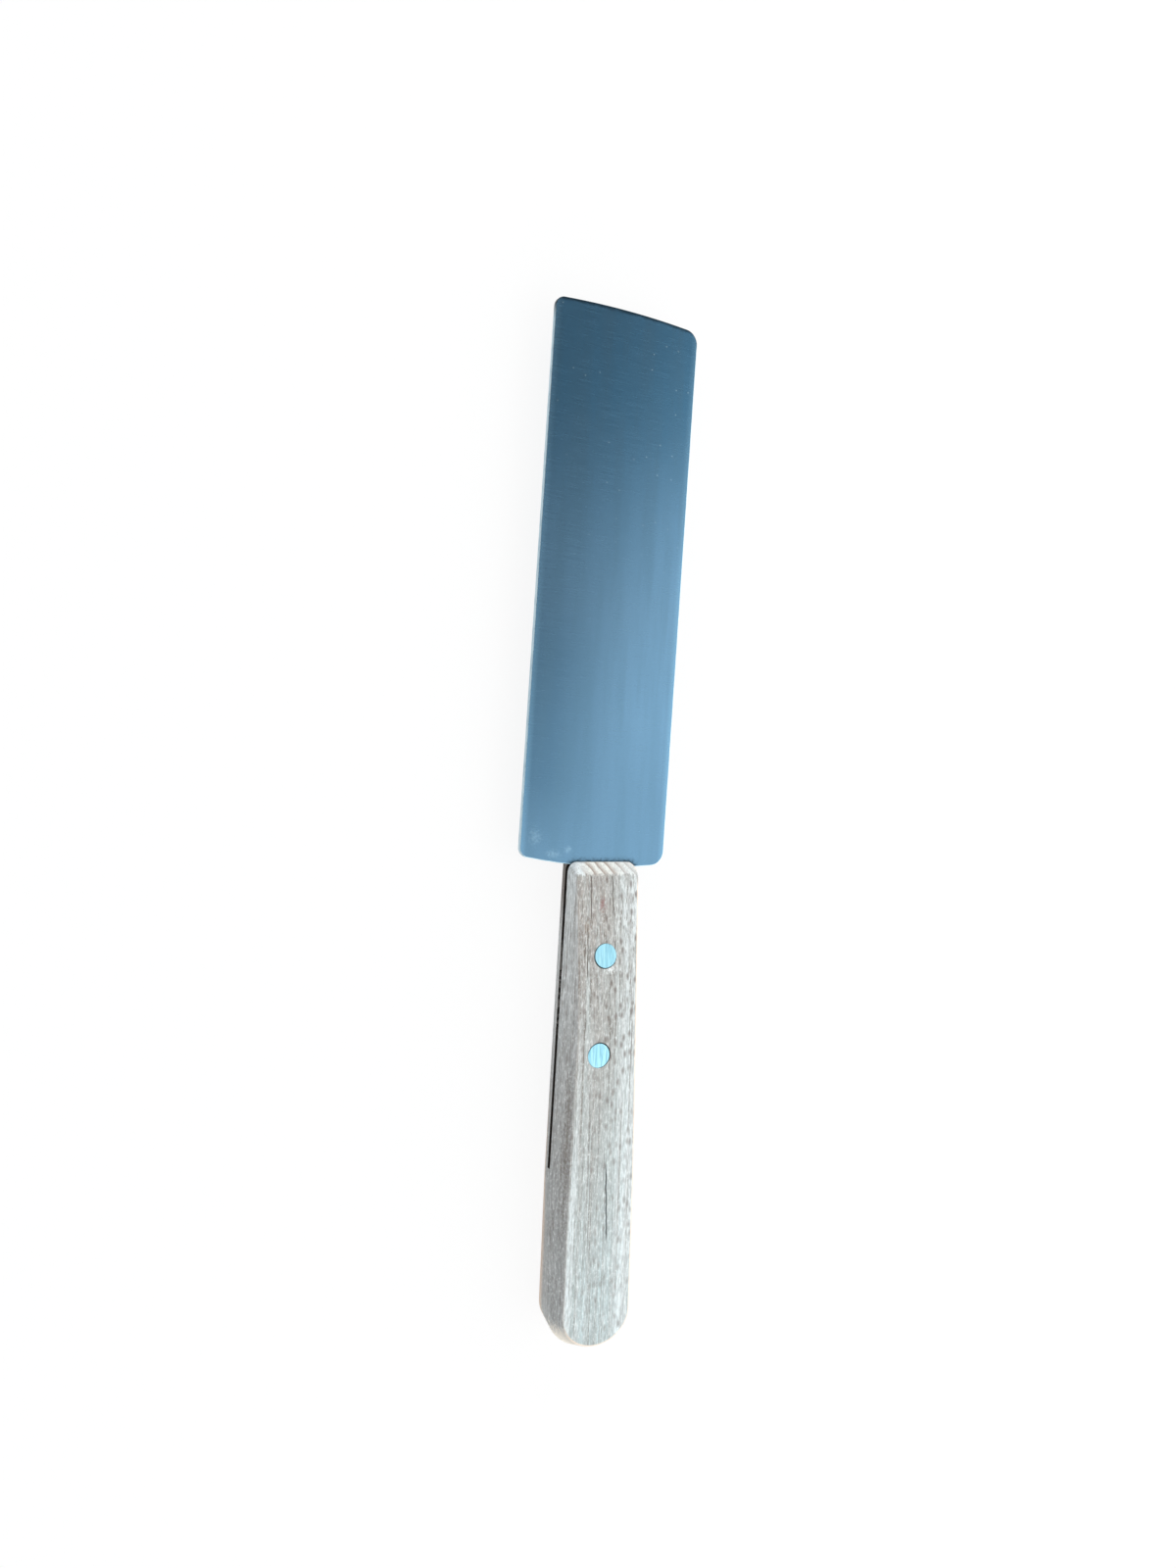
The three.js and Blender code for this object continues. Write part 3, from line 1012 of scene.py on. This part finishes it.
@dataclass(frozen=True)
class Rivet:
    """One cutlery rivet of two halves, with heads ground flush with the wood. Sizes are in millimetres."""

    name: str
    setback: float
    offset: float
    seat_shift: tuple[float, float]
    head_diameter: float = 6.5
    head_height: float = 2.0
    barrel_diameter: float = 4.4
    shank_diameter: float = 3.0
    clearance: float = 0.15
    seat_clearance: float = 0.16
    end_gap: float = 0.3
    rim: float = 0.12
    rim_steps: int = 2
    margin: float = 1.0
    steps: int = 48

    def seat(self, height: float) -> float:
        """Returns the height of a head's inner side above the blade's middle plane."""
        return height - self.head_height

    def bore(self, tool: Shape, height: float) -> None:
        """Adds the hole for the shanks to a cutter, to a height above and below the middle plane."""
        self._bar(tool, self.barrel_diameter / 2 + self.clearance, -height, height, (0.0, 0.0))

    def seats(self, tool: Shape, height: float) -> None:
        """Adds the sinkings for both heads to a cutter.

        Args:
            tool: The cutter.
            height: The height of the wood's face there.
        """
        radius = self.head_diameter / 2 + self.seat_clearance
        deep = self.seat(height) - self.clearance
        self._bar(tool, radius, deep, height + self.margin, self.seat_shift)
        self._bar(tool, radius, -height - self.margin, -deep, self.seat_shift)

    def _bar(self, tool: Shape, radius: float, bottom: float, top: float, shift: tuple[float, float]) -> None:
        """Adds a round bar on the rivet's axis to a cutter.

        Args:
            tool: The cutter.
            radius: The bar's radius.
            bottom: Its lower end.
            top: Its upper end.
            shift: How far it is off the axis.
        """
        middle = (self.offset + shift[0], -self.setback + shift[1], (bottom + top) / 2)
        bmesh.ops.create_cone(
            tool,
            cap_ends=True,
            segments=self.steps,
            radius1=radius,
            radius2=radius,
            depth=top - bottom,
            matrix=Matrix.Translation(middle),
        )

    def build(self, half: Half, height: float, slope: float, material: Material) -> Piece:
        """Turns one half on the lathe, drives it in and grinds it flush.

        Args:
            half: Which half.
            height: The height of the wood's face at the rivet.
            slope: How fast the face rises towards the butt.
            material: The half's material.

        Returns:
            The half, in the handle's frame.
        """
        shape = bmesh.new()
        points = [shape.verts.new((radius, 0.0, level)) for radius, level in self._profile(half, height)]
        lines = [shape.edges.new(pair) for pair in zip(points, points[1:])]
        bmesh.ops.spin(
            shape,
            geom=points + lines,
            axis=(0.0, 0.0, 1.0),
            angle=2 * math.pi,
            steps=self.steps,
            use_merge=True,
        )
        bmesh.ops.remove_doubles(shape, verts=shape.verts, dist=MERGE)
        bmesh.ops.bisect_plane(
            shape,
            geom=shape.verts[:] + shape.edges[:] + shape.faces[:],
            plane_co=(0.0, 0.0, height),
            plane_no=(0.0, slope, 1.0),
            clear_outer=True,
        )
        bmesh.ops.holes_fill(shape, edges=shape.edges, sides=0)
        bmesh.ops.recalc_face_normals(shape, faces=shape.faces)
        flush = max(shape.faces, key=lambda face: face.calc_center_median().z)
        ease(shape, flush.edges[:], self.rim, self.rim_steps)
        if half is Half.FEMALE:
            bmesh.ops.scale(shape, vec=(1.0, 1.0, -1.0), verts=shape.verts)
            bmesh.ops.recalc_face_normals(shape, faces=shape.faces)
        bmesh.ops.translate(shape, vec=(self.offset, -self.setback, 0.0), verts=shape.verts)
        return set_down(shape, f"{self.name}_{half.value}_turned", [material])

    def _profile(self, half: Half, height: float) -> list[tuple[float, float]]:
        """Draws the lathe profile of a half, head up.

        Args:
            half: Which half.
            height: The height of the wood's face at the rivet.

        Returns:
            Radius and level of each corner, from the inner end to beyond the head's top.
        """
        seat = self.seat(height)
        shank = self.shank_diameter / 2
        barrel = self.barrel_diameter / 2
        head = self.head_diameter / 2
        top = height + self.margin
        end = self.end_gap - seat
        socket = shank + self.clearance
        solid = [(0.0, end), (shank, end), (shank, seat)]
        hollow = [(0.0, seat), (socket, seat), (socket, end), (barrel, end), (barrel, seat)]
        inner = solid if half is Half.MALE else hollow
        return inner + [(head, seat), (head, top), (0.0, top)]


@dataclass(frozen=True)
class Handle:
    """The beech handle: six-sided, tapered to the blade, with a round butt and a kerf. In millimetres."""

    length: float = 131.5
    thickness: float = 15.0
    front_thickness: float = 8.2
    width: float = 25.1
    front_width: float = 21.0
    butt_width: float = 22.4
    swell_length: float = 85.0
    taper_length: float = 47.0
    taper_curve: float = 1.3
    flank_lean: float = 2.8
    flank_front_lean: float = 1.0
    butt_lean: float = 1.2
    butt_end_lean: float = 2.6
    chamfer_length: float = 3.2
    chamfer_depth: float = 2.3
    corner_length: float = 2.6
    corner_depth: float = 2.3
    kerf_length: float = 82.0
    kerf_height: float = 1.4
    kerf_margin: float = 1.0
    worn_edge: float = 0.55
    worn_steps: int = 3
    corner_steps: int = 5
    taper_steps: int = 12
    butt_steps: int = 36

    def butt_setback(self) -> float:
        """Returns the distance from the front end to the middle of the round butt."""
        return self.length - self.butt_width / 2

    def taper(self, setback: float) -> float:
        """Returns how much of the taper is left at a setback, from 1 at the front end to 0."""
        return (1 - share(setback, 0, self.taper_length)) ** self.taper_curve

    def height(self, setback: float) -> float:
        """Returns the height of a face above the blade's middle plane, without the end's chamfer."""
        return mix(self.thickness, self.front_thickness, self.taper(setback)) / 2

    def slope(self, setback: float, step: float = 1.0) -> float:
        """Returns how fast a face rises towards the butt."""
        return (self.height(setback + step) - self.height(setback - step)) / (2 * step)

    def end_cuts(self, setback: float) -> tuple[float, float]:
        """Finds what the front end has lost above the kerf.

        Args:
            setback: The distance from the front end.

        Returns:
            How far its chamfer cuts the upper face down, and how far its round corners cut the sides in.
        """
        chamfer = self.chamfer_depth * (1 - share(setback, 0, self.chamfer_length))
        into = 1 - share(setback, 0, self.corner_length)
        return chamfer, self.corner_depth * (1 - math.sqrt(1 - into ** 2))

    def half_width(self, setback: float, level: Level) -> float:
        """Finds the section's half width, without the end's round corners.

        Args:
            setback: The distance from the front end.
            level: The height in the section.

        Returns:
            The half width at the ridge or at the faces.
        """
        swell = share(setback, 0, self.swell_length)
        close = share(setback, self.swell_length, self.butt_setback())
        width = mix(mix(self.front_width, self.width, swell), self.butt_width, close)
        lean = mix(mix(self.flank_lean, self.flank_front_lean, self.taper(setback)), self.butt_lean, close)
        return width / 2 - (0.0 if level is Level.RIDGE else lean)

    def setbacks(self) -> list[float]:
        """Lists the setbacks of the handle's sections.

        Returns:
            The setbacks from the front end to the butt's middle.
        """
        quarter = math.pi / 2 / self.corner_steps
        corner = [self.corner_length * (1 - math.cos(step * quarter)) for step in range(self.corner_steps)]
        run = (self.taper_length - self.chamfer_length) / self.taper_steps
        taper = [self.chamfer_length + step * run for step in range(self.taper_steps + 1)]
        return corner + [self.corner_length] + taper + [self.swell_length, self.butt_setback()]

    def level(self, point: bmesh.types.BMVert) -> Level:
        """Tells the level of the section that a point of the blank lies on.

        Args:
            point: The point.

        Returns:
            The level.
        """
        if abs(point.co.z) < MERGE:
            return Level.RIDGE
        return Level.TOP if point.co.z > 0 else Level.UNDER

    def build(self, rivets: Sequence[Rivet], wood: Material, bare: Material) -> Piece:
        """Shapes the blank, saws the kerf and drills for the rivets.

        Args:
            rivets: The rivets that go through it.
            wood: The material of its outside.
            bare: The material of its kerf and holes.

        Returns:
            The handle, in its own frame.
        """
        shape = bmesh.new()
        shape.verts.layers.float.new(WORN_EDGE)
        self._straight(shape)
        self._round_butt(shape)
        bmesh.ops.holes_fill(shape, edges=shape.edges, sides=0)
        bmesh.ops.recalc_face_normals(shape, faces=shape.faces)
        self._wear_edges(shape)
        piece = set_down(shape, "worn_beech_handle", [wood])
        bores = bmesh.new()
        seats = bmesh.new()
        for rivet in rivets:
            rivet.bore(bores, self.height(rivet.setback))
            rivet.seats(seats, self.height(rivet.setback))
        for tool in (self._kerf(), bores, seats):
            carve(piece, tool, bare)
        return piece

    def _straight(self, shape: Shape) -> None:
        """Draws the front section and extrudes it from section to section.

        Args:
            shape: The blank.
        """
        corners = [(1, Level.RIDGE), (1, Level.TOP), (-1, Level.TOP)]
        corners += [(-side, Level(-level.value)) for side, level in corners]
        setbacks = self.setbacks()
        points = [shape.verts.new(self._corner(setbacks[0], side, level)) for side, level in corners]
        ring = [shape.edges.new(pair) for pair in zip(points, points[1:] + points[:1])]
        for setback in setbacks[1:]:
            grown = bmesh.ops.extrude_edge_only(shape, edges=ring)["geom"]
            ring = [item for item in grown if isinstance(item, bmesh.types.BMEdge)]
            for point in points_in(grown):
                side = 1 if point.co.x > 0 else -1
                point.co = self._corner(setback, side, self.level(point))

    def _corner(self, setback: float, side: int, level: Level) -> Vector:
        """Places a corner of a section. The lower face has a square front end, which lies under the blade.

        Args:
            setback: The section's distance from the front end.
            side: 1 on the right and -1 on the left.
            level: The corner's level.

        Returns:
            The corner.
        """
        chamfer, corner = (0.0, 0.0) if level is Level.UNDER else self.end_cuts(setback)
        rise = level.value * (self.height(setback) - chamfer)
        return Vector((side * (self.half_width(setback, level) - corner), -setback, rise))

    def _round_butt(self, shape: Shape) -> None:
        """Spins the last section's right side round the butt, and leans the butt's end.

        Args:
            shape: The blank.
        """
        middle = -self.butt_setback()
        side = [v for v in shape.verts if v.co.x > 0 and abs(v.co.y - middle) < MERGE]
        lines = [e for e in shape.edges if e.verts[0] in side and e.verts[1] in side]
        bmesh.ops.spin(
            shape,
            geom=side + lines,
            cent=(0.0, middle, 0.0),
            axis=(0.0, 0.0, 1.0),
            angle=-math.pi,
            steps=self.butt_steps,
        )
        bmesh.ops.remove_doubles(shape, verts=shape.verts, dist=MERGE)
        ridge = self.half_width(-middle, Level.RIDGE)
        face = self.half_width(-middle, Level.TOP)
        flat = [v for v in shape.verts if v.co.y < middle and self.level(v) is not Level.RIDGE]
        bmesh.ops.scale(
            shape,
            vec=(1.0, (ridge - self.butt_end_lean) / face, 1.0),
            space=Matrix.Translation((0.0, -middle, 0.0)),
            verts=flat,
        )

    def _wear_edges(self, shape: Shape) -> None:
        """Rounds the long edges, the edge behind the end chamfer and the lower end, as use and sanding do.

        Args:
            shape: The blank.
        """
        butt = -self.butt_setback() - MERGE
        worn = []
        for edge in shape.edges:
            one, other = edge.verts
            if self.level(one) is not self.level(other):
                continue
            lengthwise = abs(one.co.y - other.co.y) > MERGE or one.co.y < butt
            chamfer = self.level(one) is Level.TOP and abs(one.co.y + self.chamfer_length) < MERGE
            end = self.level(one) is Level.UNDER and abs(one.co.y) < MERGE
            if lengthwise or chamfer or end:
                worn.append(edge)
        rounded = ease(shape, worn, self.worn_edge, self.worn_steps)
        strips = set(rounded["faces"])
        layer = shape.verts.layers.float[WORN_EDGE]
        for point in rounded["verts"]:
            along = abs(point.co.y + self.chamfer_length) > 2 * self.worn_edge
            point[layer] = float(along and strips.issuperset(point.link_faces))

    def _kerf(self) -> Shape:
        """Makes the shape that the saw takes out, which stands out of the wood by a margin.

        Returns:
            The cutter.
        """
        tool = bmesh.new()
        margin = self.kerf_margin
        size = (self.width + 2 * margin, self.kerf_length + margin, self.kerf_height)
        middle = Matrix.Translation((0.0, (margin - self.kerf_length) / 2, 0.0))
        bmesh.ops.create_cube(tool, size=1.0, matrix=middle @ Matrix.Diagonal((*size, 1.0)))
        return tool


@dataclass(frozen=True)
class Blade:
    """The blade with its tang, one strip of sheet steel. Sizes are in millimetres."""

    width: float = 44.0
    length: float = 149.8
    thickness: float = 1.2
    tip_crown: float = 1.0
    heel_crown: float = 1.6
    heel_slant: float = 1.0
    tip_left_radius: float = 2.6
    tip_right_radius: float = 3.5
    heel_left_radius: float = 2.2
    heel_right_radius: float = 3.6
    tang_width: float = 14.0
    tang_reach: float = 74.7
    tang_end_radius: float = 4.0
    eased_edge: float = 0.2
    eased_steps: int = 2
    flat_facing: float = 0.99
    corner_steps: int = 8
    crown_cuts: int = 11

    def build(self, rivets: Sequence[Rivet], to_blade: Matrix, steel: Material, edge: Material) -> Piece:
        """Stamps the sheet, eases its edges and punches the rivet holes.

        Args:
            rivets: The rivets that go through the tang.
            to_blade: The step from the handle's frame to the blade's.
            steel: The material of the blade's flats.
            edge: The material of its cut edge.

        Returns:
            The blade, in its own frame, with the middle of its heel at the origin.
        """
        axes = [to_blade @ Vector((rivet.offset, -rivet.setback, 0.0)) for rivet in rivets]
        shape = bmesh.new()
        self._outline(shape, sum(axis.x for axis in axes) / len(axes))
        self._crown(shape)
        raised = points_in(bmesh.ops.extrude_face_region(shape, geom=shape.faces[:])["geom"])
        bmesh.ops.translate(shape, vec=(0.0, 0.0, self.thickness), verts=raised)
        bmesh.ops.translate(shape, vec=(0.0, 0.0, -self.thickness / 2), verts=shape.verts)
        bmesh.ops.recalc_face_normals(shape, faces=shape.faces)
        rim = [e for e in shape.edges if abs(e.verts[0].co.z - e.verts[1].co.z) < MERGE]
        ease(shape, rim, self.eased_edge, self.eased_steps)
        for face in shape.faces:
            face.material_index = int(abs(face.normal.z) < self.flat_facing)
        piece = set_down(shape, "satin_blade", [steel, edge])
        punch = bmesh.new()
        for rivet in rivets:
            rivet.bore(punch, self.thickness)
        bmesh.ops.transform(punch, matrix=to_blade, verts=punch.verts)
        carve(piece, punch, steel)
        return piece

    def _outline(self, shape: Shape, tang: float) -> None:
        """Draws the sheet's outline with straight ends and round corners, as one face.

        Args:
            shape: The sheet.
            tang: The middle of the tang's width.
        """
        half = self.width / 2
        left = tang - self.tang_width / 2
        right = tang + self.tang_width / 2
        corners = [
            (half, 0.0, self.heel_right_radius),
            (half, self.length, self.tip_right_radius),
            (-half, self.length, self.tip_left_radius),
            (-half, 0.0, self.heel_left_radius),
            (left, 0.0, 0.0),
            (left, -self.tang_reach, self.tang_end_radius),
            (right, -self.tang_reach, self.tang_end_radius),
            (right, 0.0, 0.0),
        ]
        points = [shape.verts.new((x, y, 0.0)) for x, y, _ in corners]
        shape.faces.new(points)
        for point, (_, _, radius) in zip(points, corners):
            if radius:
                ease(shape, [point], radius, self.corner_steps, Rounding.CORNERS)
        ends = [e for e in shape.edges if self._is_end(e)]
        bmesh.ops.subdivide_edges(shape, edges=ends, cuts=self.crown_cuts)

    def _is_end(self, edge: bmesh.types.BMEdge) -> bool:
        """Returns whether an edge is a straight part of the tip or of the heel."""
        one, other = (point.co.y for point in edge.verts)
        return abs(one - other) < MERGE and (abs(one) < MERGE or abs(one - self.length) < MERGE)

    def _crown(self, shape: Shape) -> None:
        """Bends the tip and the heel to their shallow curves.

        Args:
            shape: The sheet.
        """
        half = self.width / 2
        for point in shape.verts:
            across = point.co.x / half
            if point.co.y > self.length / 2:
                point.co.y -= self.tip_crown * across ** 2
            elif point.co.y > -MERGE:
                point.co.y += self.heel_crown * across ** 2 - self.heel_slant / 2 * across


@dataclass(frozen=True)
class Lamp:
    """A soft box that shines on the knife. Lengths are in metres."""

    name: str
    place: Size
    width: float
    height: float
    watts: float
    colour: str = "#ffffff"

    def build(self, target: Vector) -> None:
        """Hangs the lamp where it lights the knife and isn't seen itself.

        Args:
            target: The point that it faces.
        """
        light = bpy.data.lights.new(self.name, "AREA")
        light.shape = "RECTANGLE"
        light.size = self.width
        light.size_y = self.height
        light.energy = self.watts
        light.color = linear(self.colour)[:3]
        lamp = bpy.data.objects.new(self.name, light)
        lamp.visible_camera = False
        lamp.location = Vector(self.place)
        lamp.rotation_euler = (target - lamp.location).to_track_quat("-Z", "Y").to_euler()
        bpy.context.scene.collection.objects.link(lamp)


@dataclass(frozen=True)
class Studio:
    """The paper that the knife lies on, the light and the camera.

    The paper's lengths are in metres. The camera's are in millimetres.
    """

    lamps: tuple[Lamp, ...] = (
        Lamp("key_softbox", (0.929, -0.494, 0.764), 3.0, 1.75, 28.0, "#f9ffff"),
        Lamp("far_softbox", (0.288, 1.075, 0.45), 1.2, 0.8, 7.0),
        Lamp("near_softbox", (0.1, -1.15, 0.3), 1.2, 0.5, 4.5),
        Lamp("left_softbox", (-1.0, 0.25, 0.42), 1.2, 0.8, 2.5),
        Lamp("top_softbox", (-0.2, 0.1, 1.4), 0.8, 0.8, 1.7),
    )
    sky: float = 0.28
    floor_radius: float = 4.0
    floor_steps: int = 96
    wall_height: float = 2.8
    cove_radius: float = 0.9
    cove_steps: int = 10
    floor_gap: float = 0.0002
    target: Size = (-2.77, 12.17, 7.5)
    distance: float = 330.0
    tilt: float = math.radians(28.0)
    lean: float = math.radians(3.815)
    lens: float = 28.21
    sensor: float = 36.0
    nearest: float = 10.0

    def build(self) -> None:
        """Sets up the paper, the light and the camera."""
        self._paper()
        self._light()
        self._camera()
        bpy.context.scene.view_settings.view_transform = "Standard"
        LOG.info("studio: paper, %d lamps and camera", len(self.lamps))

    def _paper(self) -> None:
        """Rolls out the paper: a round floor whose rim sweeps up to a low wall."""
        shape = bmesh.new()
        bmesh.ops.create_circle(shape, cap_ends=True, segments=self.floor_steps, radius=self.floor_radius)
        rim = [e for e in shape.edges if e.is_boundary]
        upper = points_in(bmesh.ops.extrude_edge_only(shape, edges=rim)["geom"])
        bmesh.ops.translate(shape, vec=(0.0, 0.0, self.wall_height), verts=upper)
        level = [e for e in shape.edges if abs(e.verts[0].co.z - e.verts[1].co.z) < MERGE]
        ease(shape, [e for e in level if e.is_manifold], self.cove_radius, self.cove_steps)
        bmesh.ops.translate(shape, vec=(0.0, 0.0, -self.floor_gap), verts=shape.verts)
        paper = set_down(shape, "studio_paper", [SeamlessPaper().material(Place(Vector()))])
        paper.data.shade_smooth()

    def _light(self) -> None:
        """Fills the room with even light and hangs the lamps."""
        world = bpy.data.worlds.new("even_studio")
        world.use_nodes = True
        background = world.node_tree.nodes["Background"]
        background.inputs["Color"].default_value = linear("#ffffff")
        background.inputs["Strength"].default_value = self.sky
        bpy.context.scene.world = world
        for lamp in self.lamps:
            lamp.build(Vector(self.target) * MM)

    def _camera(self) -> None:
        """Holds the camera over the knife, a little to its left, as for the photograph."""
        level = Vector((math.cos(self.tilt), 0.0, math.sin(self.tilt)))
        ahead = Vector((0.0, 1.0, 0.0))
        right = math.cos(self.lean) * level + math.sin(self.lean) * ahead
        up = math.cos(self.lean) * ahead - math.sin(self.lean) * level
        back = right.cross(up)
        eye = (Vector(self.target) + self.distance * back) * MM
        lens = bpy.data.cameras.new("photo_camera")
        lens.lens = self.lens
        lens.sensor_fit = "VERTICAL"
        lens.sensor_height = self.sensor
        lens.clip_start = self.nearest * MM
        camera = bpy.data.objects.new("photo_camera", lens)
        camera.matrix_world = Matrix.Translation(eye) @ Matrix((right, up, back)).transposed().to_4x4()
        bpy.context.scene.collection.objects.link(camera)
        bpy.context.scene.camera = camera


@dataclass(frozen=True)
class Knife:
    """The whole knife: the blade, the handle that is set on it and the two rivets."""

    blade: Blade = Blade()
    handle: Handle = Handle()
    rivets: tuple[Rivet, ...] = (
        Rivet("front_rivet", 24.6, -0.8, (-0.12, -0.1)),
        Rivet("rear_rivet", 50.9, -2.45, (0.1, 0.1)),
    )
    handle_offset: float = 2.8
    handle_turn: float = math.radians(1.75)
    heel_overlap: float = 1.3

    def blade_place(self) -> Place:
        """Returns the blade's place: the middle of its heel, on its middle plane."""
        low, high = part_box("blade")
        return Place(Vector((0.0, high.y / MM - self.blade.length, (low.z + high.z) / 2 / MM)))

    def handle_place(self) -> Place:
        """Returns the handle's place: the middle of its front end, on the blade's middle plane."""
        shift = Vector((self.handle_offset, self.heel_overlap, 0.0))
        return Place(self.blade_place().origin + shift, self.handle_turn)

    def build(self) -> None:
        """Builds and dresses each piece in the stead of its CAD node."""
        at_blade = self.blade_place()
        at_handle = self.handle_place()
        steel = SatinSteel().material(at_blade, self.blade, at_handle, self.handle.front_width)
        edge = ShearedSteel().material(at_blade)
        wood = WornBeech().material(at_handle)
        bare = SawnBeech().material(at_handle)
        aluminium = GroundAluminium().material(at_handle)
        to_blade = at_blade.matrix().inverted() @ at_handle.matrix()
        fit(self.blade.build(self.rivets, to_blade, steel, edge), at_blade, "blade")
        fit(self.handle.build(self.rivets, wood, bare), at_handle, "handle")
        for rivet in self.rivets:
            height = self.handle.height(rivet.setback)
            slope = self.handle.slope(rivet.setback)
            for half in Half:
                piece = rivet.build(half, height, slope, aluminium)
                fit(piece, at_handle, f"{rivet.name}_{half.value}")


def main() -> None:
    """Builds the knife and the studio."""
    logging.basicConfig(level=logging.INFO, format="%(name)s: %(message)s")
    Knife().build()
    Studio().build()


if __name__ == "__main__":
    main()
